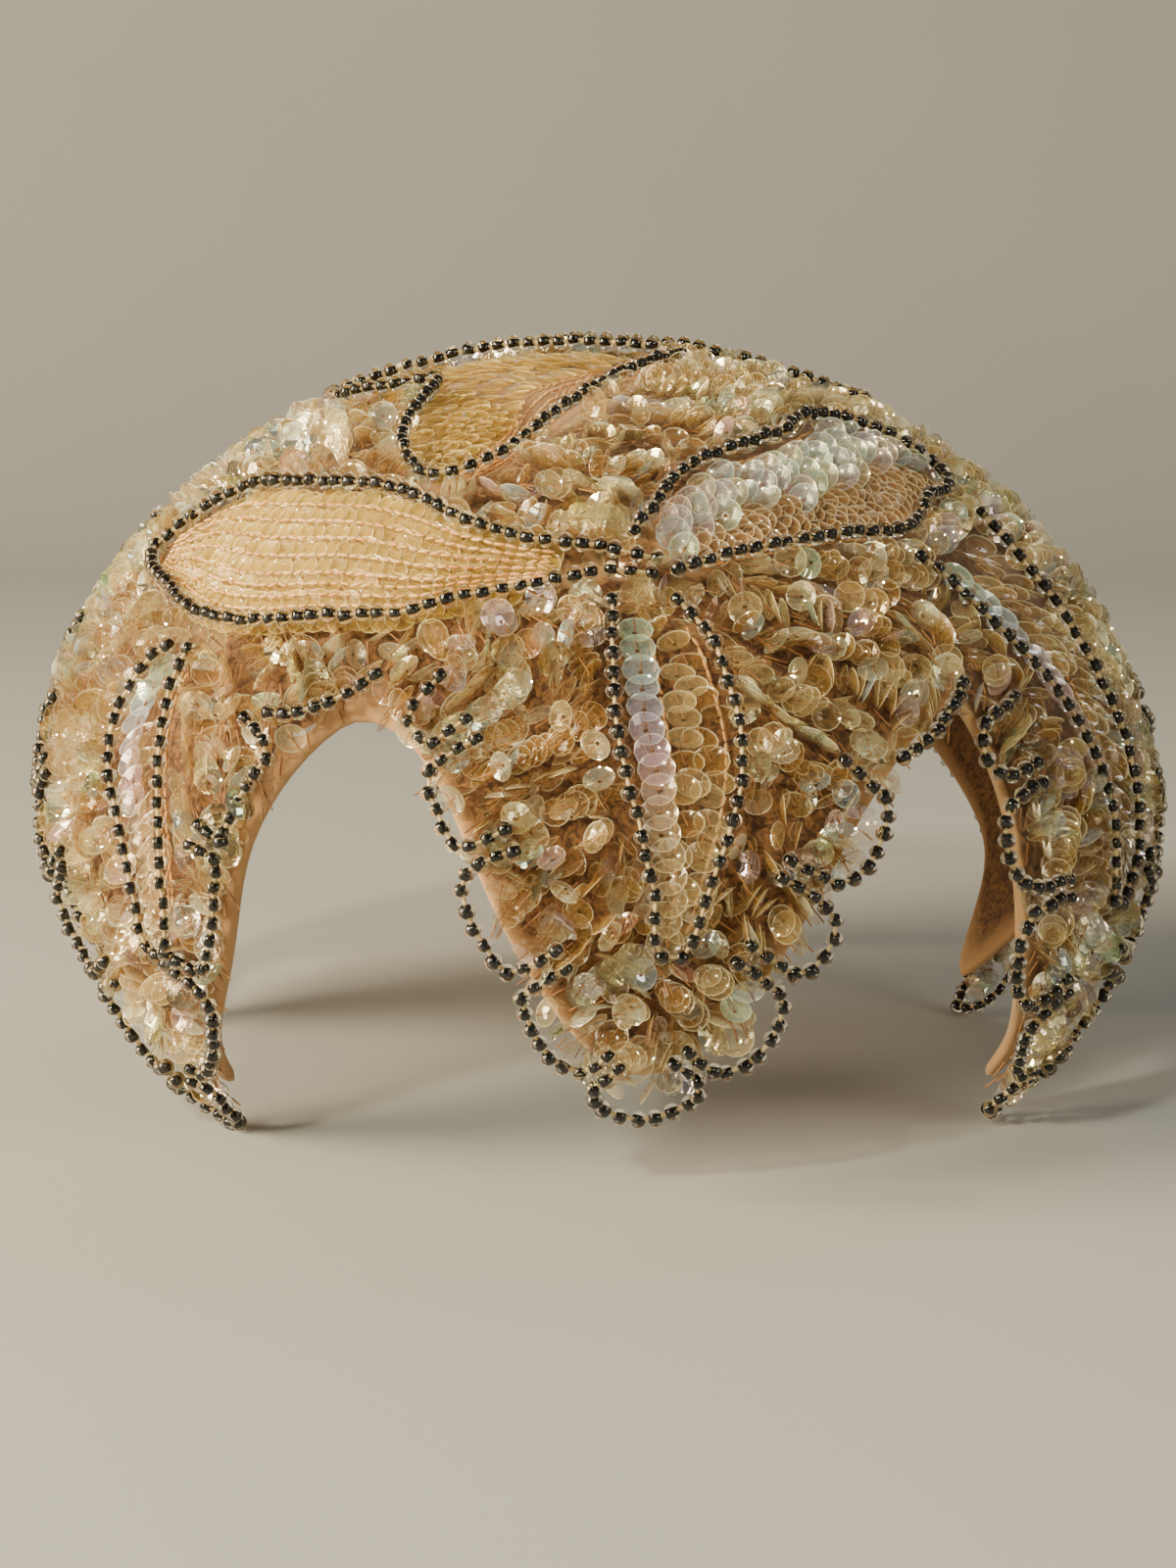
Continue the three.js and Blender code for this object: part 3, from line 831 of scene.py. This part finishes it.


# Petals
# The petals are filled with rows of flat cream sequins that fan out from the hub to the tip. Chain stitches
# of peach thread run between them as veins, or in rows on bare felt. The petal on the right has a band of
# loose pastel sequins, and its flat ones are peach. Both are painted darker there, partly as painted shade,
# since that petal faces away from the light. All are sewn to the felt through their holes.
PETAL_STATIONS = 60
PETAL_TRIM = (5, 56)
PETAL_SHADED_BED = 0.25
FLAT_DIAMETER = 0.0042
FLAT_PITCH = 0.0021
FLAT_LIFT = 0.0014
FLAT_SPACING = 0.0014
FLAT_TILT = 0.2
FLAT_SHIFT = 0.0002
BAND_DIAMETER = 0.0048
BAND_PITCH = 0.0028
BAND_LIFT = 0.0024
BAND_TILT = 0.8
BAND_SHIFT = 0.0009
BAND_TINTS = 5
# The pastel band's tints are dimmed, partly as painted shade, since the right petal faces away from the light
BAND_PAINTED_SHADE = 0.5
BAND_FILM = (0.0, 0.14)
SEQUIN_TURN = 0.1
SEQUIN_SWAY = (0.09, 0.1)
SEQUIN_SIZES = (0.94, 1.06)
CHAIN_PITCH = 0.0017
CHAIN_LIFT = 0.0009
VEIN_LIFT = 0.0023
CHAIN_SIZE = (0.0019, 0.00055, 0.0005)
CHAIN_TURN = 0.00025
CHAIN_SIZES = (0.85, 1.15)
CHART_STEP = 8
PETAL_SEED = 60

bpy.ops.mesh.primitive_uv_sphere_add(segments=6, ring_count=4, radius=0.5)
bpy.ops.object.mode_set(mode="EDIT")
bpy.ops.mesh.select_all(action="SELECT")
bpy.ops.transform.resize(value=(CHAIN_SIZE[2], CHAIN_SIZE[1], CHAIN_SIZE[0]))
bpy.ops.object.mode_set(mode="OBJECT")
chain_stitch = pattern_of(bpy.context.object)


def across_petal(outline, share):
    """A line on the felt from a shape's hub to its tip, this share of the way from side to side."""
    hub = (outline[0] + outline[-1]) / 2
    tip = int(np.argmax(np.linalg.norm(outline - hub, axis=1)))
    sides = [evenly(side, PETAL_STATIONS) for side in (outline[:tip + 1], outline[tip:][::-1])]
    line = sides[0] + (sides[1] - sides[0]) * share
    return dome(*bearing(line[slice(*PETAL_TRIM)]))


def chain_along(paths, lift, rng):
    """The group of chain stitches along paths on the felt."""
    axes, places = [], []
    for path in paths:
        at = bearing(even_points(path, CHAIN_PITCH))
        raised = dome(*at, lift)
        ways = np.gradient(raised, axis=0) + rng.normal(0, CHAIN_TURN, raised.shape)
        axes.append(axes_along(ways, normal_at(*at)))
        places.append(raised)
    axes, places = np.concatenate(axes), np.concatenate(places)
    return chain_stitch, axes * rng.uniform(*CHAIN_SIZES, (len(axes), 1, 1)), places, PEACH


def row_along(path, pitch, diameter, tilt, lift, shift, rng):
    """Axes and places of a row of sequins along a path on the felt, each shifted a little."""
    spots = even_points(path, pitch)
    at = bearing(spots + rng.normal(0, shift, spots.shape))
    places = dome(*at, lift)
    ways = unit(np.gradient(places, axis=0)) + rng.normal(0, SEQUIN_TURN, places.shape)
    tilts, rolls = (
        rng.normal(middle, sway, len(places)) for middle, sway in zip((tilt, 0), SEQUIN_SWAY)
    )
    axes = leaning(normal_at(*at), ways, tilts, rolls)
    sizes = diameter / CUP_DIAMETER * rng.uniform(*SEQUIN_SIZES, (len(places), 1, 1))
    return axes * sizes, places


def thinned(places, spacing):
    """Which places stay clear of every earlier one."""
    kept = []
    for place in places:
        earlier = [other for other, keep in zip(places, kept) if keep]
        kept.append(all(np.sum((place - other) ** 2) > spacing ** 2 for other in earlier))
    return np.array(kept)


def chart(azimuth, drop):
    """The dome laid flat round its crown."""
    turn = np.radians(azimuth)
    return np.stack([drop * np.sin(turn), -drop * np.cos(turn)], -1)


def inside(outline, points):
    """Which points lie inside a closed outline, both on the flat chart."""
    start, end = outline, np.roll(outline, -1, axis=0)
    x, y = points[..., 0, None], points[..., 1, None]
    crosses = (start[:, 1] > y) != (end[:, 1] > y)
    climb = np.where(end[:, 1] == start[:, 1], 1e-9, end[:, 1] - start[:, 1])
    meets = start[:, 0] + (y - start[:, 1]) * (end[:, 0] - start[:, 0]) / climb
    return np.count_nonzero(crosses & (x < meets), axis=-1) % 2 == 1


def with_copy(name):
    """The names of a petal or leaf and of its copy at the back."""
    return name, LINES[name][1][0][0]


PETALS = {
    # tint of the flat sequins, then shares of the way from side to side: rows of flat sequins, rows of pastel
    # sequins, veins, and chain stitches on bare felt
    "left_petal": (
        (0.60, 0.40, 0.077), np.arange(0.06, 1, 0.13), [],
        [0.14, 0.27, 0.4, 0.53, 0.66, 0.74, 0.82, 0.9], [],
    ),
    # The right petal's peach tint is painted darker, as painted shade, since that petal faces away from the
    # light
    "right_petal": (
        (0.32, 0.165, 0.055), [0.59, 0.68, 0.77, 0.86], [0.22, 0.34, 0.46],
        [], [0.05, 0.1, 0.15, 0.53, 0.93, 0.97],
    ),
    "left_crown_petal": (
        (0.56, 0.37, 0.08), np.arange(0.24, 1, 0.1), [],
        [], [0.04, 0.08, 0.12, 0.16, 0.2],
    ),
}
FLAT_ROW = (FLAT_PITCH, FLAT_DIAMETER, FLAT_TILT, FLAT_LIFT, FLAT_SHIFT)
BAND_ROW = (BAND_PITCH, BAND_DIAMETER, BAND_TILT, BAND_LIFT, BAND_SHIFT)
for seed, (name, (tint, creams, pastels, veins, chains)) in enumerate(PETALS.items()):
    for copy in with_copy(name):
        rng = np.random.default_rng(PETAL_SEED + seed)
        outline = outlines[copy]
        flat = [row_along(across_petal(outline, share), *FLAT_ROW, rng) for share in creams]
        axes, places = (np.concatenate(part) for part in zip(*flat))
        kept = thinned(places, FLAT_SPACING)
        axes, places = axes[kept], places[kept]
        tints = np.array(tint) * rng.uniform(*SHADES, (len(places), 1))
        threads = []
        for shares, lift in ((veins, VEIN_LIFT), (chains, CHAIN_LIFT)):
            if len(shares):
                threads.append(chain_along([across_petal(outline, share) for share in shares], lift, rng))
        sew_sequins(f"{copy}_sequins", cream_sequin, axes, places, tints, np.zeros(len(places)), threads)
        if pastels:
            band = [row_along(across_petal(outline, share), *BAND_ROW, rng) for share in pastels]
            axes, places = (np.concatenate(part) for part in zip(*band))
            tints = PASTELS[rng.integers(0, BAND_TINTS, len(places))] * BAND_PAINTED_SHADE
            films = rng.uniform(*BAND_FILM, len(places))
            threads = [stitches(axes, places)]
            sew_sequins(f"{copy}_pastel_sequins", pastel_sequin, axes, places, tints, films, threads)

# In the petals the felt itself shows more than the bed of thread, darkened as painted shade, that is drawn on
# it elsewhere
shaded_thread_bed = felt_cap.data.attributes["shaded_thread_bed"]
felt_points = np.zeros(3 * len(felt_cap.data.vertices))
felt_cap.data.vertices.foreach_get("co", felt_points)
felt_chart = chart(*bearing(felt_points.reshape(-1, 3)))
shaded_bed_share = np.zeros(len(felt_chart))
shaded_thread_bed.data.foreach_get("value", shaded_bed_share)
for name, outline in outlines.items():
    if name.endswith("petal"):
        shaded_bed_share[inside(chart(*bearing(outline[::CHART_STEP])), felt_chart)] *= PETAL_SHADED_BED
shaded_thread_bed.data.foreach_set("value", shaded_bed_share)


# Leaves
# Down one side of each leaf runs a column of large clear sequins with a pastel film. Beside it lie looser
# ones and a strip of peach chain stitches.
LARGE_DIAMETER = 0.005
LARGE_PITCH = 0.0027
LARGE_TILT = 0.3
LARGE_LIFT = 0.0022
LARGE_SHIFT = 0.0002
LARGE_FILM = (0.4, 0.1)
LOOSE_PITCH = 0.0027
LOOSE_TILT = 0.6
LOOSE_SHIFT = 0.0009
LOOSE_SPACING = 0.0015
LOOSE_FILM = (0.05, 0.25)
LEAF_SEED = 70
COLUMN_TINTS = np.array([
    (0.62, 0.90, 0.66), (0.62, 0.84, 0.92), (0.74, 0.74, 0.96), (0.96, 0.64, 0.74), (0.94, 0.70, 0.48),
    (0.86, 0.66, 0.34), (0.84, 0.62, 0.28), (0.84, 0.62, 0.28),
])
LEAVES = {
    # share of the large column, shares of the loose columns, shares of the chain rows
    "left_leaf": (0.3, [0.55], [0.74, 0.86]),
    "front_leaf": (0.26, [0.56, 0.78], [0.42, 0.9]),
    "right_leaf": (0.2, [0.45, 0.62, 0.8], [0.33, 0.7]),
}
LARGE_ROW = (LARGE_PITCH, LARGE_DIAMETER, LARGE_TILT, LARGE_LIFT, LARGE_SHIFT)
LOOSE_ROW = (LOOSE_PITCH, LARGE_DIAMETER, LOOSE_TILT, LARGE_LIFT, LOOSE_SHIFT)
for seed, (name, (large, loose, chain_shares)) in enumerate(LEAVES.items()):
    for copy in with_copy(name):
        rng = np.random.default_rng(LEAF_SEED + seed)
        outline = outlines[copy]
        column = row_along(across_petal(outline, large), *LARGE_ROW, rng)
        rows = [row_along(across_petal(outline, share), *LOOSE_ROW, rng) for share in loose]
        axes, places = (np.concatenate(part) for part in zip(column, *rows))
        count = len(column[1])
        steps = np.linspace(0, len(COLUMN_TINTS) - 1, count)
        tints = CREAMS[rng.integers(0, len(CREAMS), len(places))]
        films = rng.uniform(*LOOSE_FILM, len(places))
        tints[:count] = points_at(steps, np.arange(len(COLUMN_TINTS)), COLUMN_TINTS)
        films[:count] = np.linspace(*LARGE_FILM, count)
        kept = np.concatenate([np.ones(count, bool), thinned(places[count:], LOOSE_SPACING)])
        axes, places = axes[kept], places[kept]
        chains = chain_along([across_petal(outline, share) for share in chain_shares], CHAIN_LIFT, rng)
        threads = [chains, stitches(axes, places)]
        sew_sequins(f"{copy}_sequins", clear_sequin, axes, places, tints[kept], films[kept], threads)


# Ground
# Between the shapes the felt is filled with short rows of sequins, each half over the next, that lean or
# stand on edge. On the lobes the rows run outwards and down like the barbs of a feather, and on the crown
# more round it. Stitches of tan thread hold them, and loose strands of it show between them.
ROW_PITCH = 0.00125
ROW_SPACING = 0.0027
ROW_COUNTS = (6, 17)
# The tries after those of the rows lay single sequins in the gaps
ROW_TRIES = 12000
ALL_TRIES = 21000
FILL_SPACING = 0.0017
EDGE_MARGIN = 0.0014
LINE_MARGIN = 0.0012
# Tilt and roll, in radians
LEANING = (0.9, 0.0)
STANDING = (0.5, 0.85)
STANDING_SHARE = 0.5
RIGHT_SHARE = 0.5
ROW_SWAY = (0.22, 0.3)
CUP_SWAY = (0.24, 0.34)
TILT_LIMITS = (0.1, 1.35)
ROW_TURN = 0.3
CUP_TURN = 0.15
CUP_SIZE = 0.96
CUP_SPREAD = 0.06
CUP_LIMITS = (0.82, 1.12)
CUP_LIFT = 0.0008
STEEP_LIFT = 0.4
PLAIN_FILM = (0.08, 0.45)
BRIGHT_FILM = (0.5, 1.0)
BRIGHT_ROWS = 0.2
BRIGHT_CUPS = 0.26
STRAND_LIFT = 0.0005
STRAND_SHIFT = 0.0007
STRAND_LENGTHS = (0.0015, 0.0035)
STRAND_RISE = 0.0003
STRAND_WIDTH = 0.5
DROP_LIMIT = 126
BARB_ANGLE = 52
BARB_DROP = 52
BARB_BLEND = 14
CROWN_ANGLE = 18
# Degrees of turn, and how fast it varies over the felt
SWIRLS = ((38, 55), (14, 210))
GROUND_SEED = 7


def near(points):
    """A tree that finds the nearest of these points."""
    tree = kdtree.KDTree(len(points))
    for number, point in enumerate(points):
        tree.insert(point, number)
    tree.balance()
    return tree


# A map of the dome with a cell for each degree, which is true where the ground lies
cells = chart(*np.meshgrid(np.arange(360) + 0.5, np.arange(DROP_LIMIT) + 0.5, indexing="ij"))
whole_edge = np.vstack([edge[::CHART_STEP] for edge in edges.values()])
ground = inside(chart(*bearing(whole_edge)), cells)
for name, outline in outlines.items():
    if not name.endswith("bridge"):
        ground &= ~inside(chart(*bearing(outline[::CHART_STEP])), cells)
edge_tree = near(whole_edge)
line_tree = near(np.vstack([outline[::2] for outline in outlines.values()]))


def free_ground(azimuth, drop, point):
    """Whether a place is on the ground and clear of the edge and of the bead lines."""
    if not 0 < drop < DROP_LIMIT - 1 or not ground[int(azimuth % 360), int(drop)]:
        return False
    return edge_tree.find(point)[2] > EDGE_MARGIN and line_tree.find(point)[2] > LINE_MARGIN


def lie(azimuth, drop, point):
    """Which way a row of ground sequins runs, as an angle from level towards straight down."""
    offset = (azimuth - lobe_tips + 180) % 360 - 180
    side = offset[np.argmin(np.abs(offset))]
    feather = np.clip((drop - BARB_DROP) / BARB_BLEND, 0, 1)
    barb = BARB_ANGLE if side > 0 else 180 - BARB_ANGLE
    swirl = sum(turn * noise.noise(Vector(point) * scale) for turn, scale in SWIRLS)
    return math.radians(barb * feather + CROWN_ANGLE * (1 - feather) + swirl)


rng = np.random.default_rng(GROUND_SEED)
cells_taken = {}
ground_rows = []


def cell_of(point):
    """The cell of space that a point lies in."""
    return np.floor(point / ROW_SPACING).astype(int)


def crowded(point, spacing, row):
    """Whether a sequin of another row is nearer than the spacing."""
    key = cell_of(point)
    for step in np.ndindex(3, 3, 3):
        for other, owner in cells_taken.get(tuple(key + step - 1), ()):
            if owner != row and np.sum((point - other) ** 2) < spacing ** 2:
                return True
    return False


def sow(azimuth, drop, count, spacing, row):
    """Lays one row of sequins from a place, until it meets another row or an outline."""
    for _ in range(count):
        point = dome(azimuth, drop)
        if not free_ground(azimuth, drop, point) or crowded(point, spacing, row):
            return
        angle = lie(azimuth, drop, point)
        ground_rows.append((azimuth, drop, angle, row))
        cells_taken.setdefault(tuple(cell_of(point)), []).append((point, row))
        radius = WIDEST_RADIUS * math.sin(math.radians(drop))
        azimuth += math.degrees(ROW_PITCH * math.cos(angle) / radius)
        drop += math.degrees(ROW_PITCH * math.sin(angle) / WIDEST_RADIUS)


lowest = math.cos(math.radians(DROP_LIMIT))
for row in range(ALL_TRIES):
    azimuth = rng.uniform(0, 360)
    drop = math.degrees(math.acos(rng.uniform(lowest, 1)))
    if row < ROW_TRIES:
        sow(azimuth, drop, rng.integers(*ROW_COUNTS), ROW_SPACING, row)
    else:
        sow(azimuth, drop, 1, FILL_SPACING, row)

azimuth, drop, angle, row = np.array(ground_rows).T
row = row.astype(int)
count = len(row)
ups = normal_at(azimuth, drop)
round_way = np.stack([np.cos(np.radians(azimuth)), np.sin(np.radians(azimuth)), np.zeros(count)], -1)
ways = round_way * np.cos(angle)[:, None] + np.cross(round_way, ups) * np.sin(angle)[:, None]
ways = unit(ways + rng.normal(0, CUP_TURN, ways.shape))
of_row = rng.normal(0, 1, (ALL_TRIES, 3))[row]
ways[of_row[:, 2] > ROW_TURN] *= -1
standing = rng.random(ALL_TRIES)[row] < STANDING_SHARE
tilt, roll = (
    np.where(standing, STANDING[turn], LEANING[turn])
    + ROW_SWAY[turn] * of_row[:, turn] + rng.normal(0, CUP_SWAY[turn], count)
    for turn in (0, 1)
)
tilt = tilt.clip(*TILT_LIMITS)
roll = roll * np.where(rng.random(ALL_TRIES)[row] < RIGHT_SHARE, 1, -1)
size = rng.normal(CUP_SIZE, CUP_SPREAD, (count, 1, 1)).clip(*CUP_LIMITS)
axes = leaning(ups, ways, tilt, roll) * size
steep = np.maximum(np.sin(tilt), np.abs(np.sin(roll)))
places = dome(azimuth, drop, CUP_LIFT + STEEP_LIFT * CUP_DIAMETER * steep)
tones = rng.integers(0, len(CREAMS), ALL_TRIES)[row]
tints = CREAMS[tones] * rng.uniform(*SHADES, (count, 1))
films = rng.uniform(*PLAIN_FILM, count)
bright_rows = rng.random(ALL_TRIES)[row] < BRIGHT_ROWS
bright_cups = rng.random(count) < BRIGHT_CUPS
tints[bright_rows] = PASTELS[tones[bright_rows] - len(CREAMS)]
tints[bright_cups] = PASTELS[rng.integers(0, len(PASTELS), bright_cups.sum())]
bright = bright_rows | bright_cups
films[bright] = rng.uniform(*BRIGHT_FILM, bright.sum())
QUARTERS = ("left_front", "right_front", "right_back", "left_back")
quarter = (azimuth % 360 // 90).astype(int)
for number, name in enumerate(QUARTERS):
    here = quarter == (number + 3) % 4
    starts = dome(azimuth[here], drop[here], STRAND_LIFT) + rng.normal(0, STRAND_SHIFT, (here.sum(), 3))
    lengths = rng.uniform(*STRAND_LENGTHS, (here.sum(), 1))
    ends = starts + ways[here] * lengths + ups[here] * STRAND_RISE
    strands = threads_between(starts, ends, STRAND_WIDTH, TAN)
    threads = [strands, stitches(axes[here], places[here])]
    sew_sequins(
        f"{name}_ground_sequins", clear_sequin, axes[here], places[here], tints[here], films[here], threads,
    )
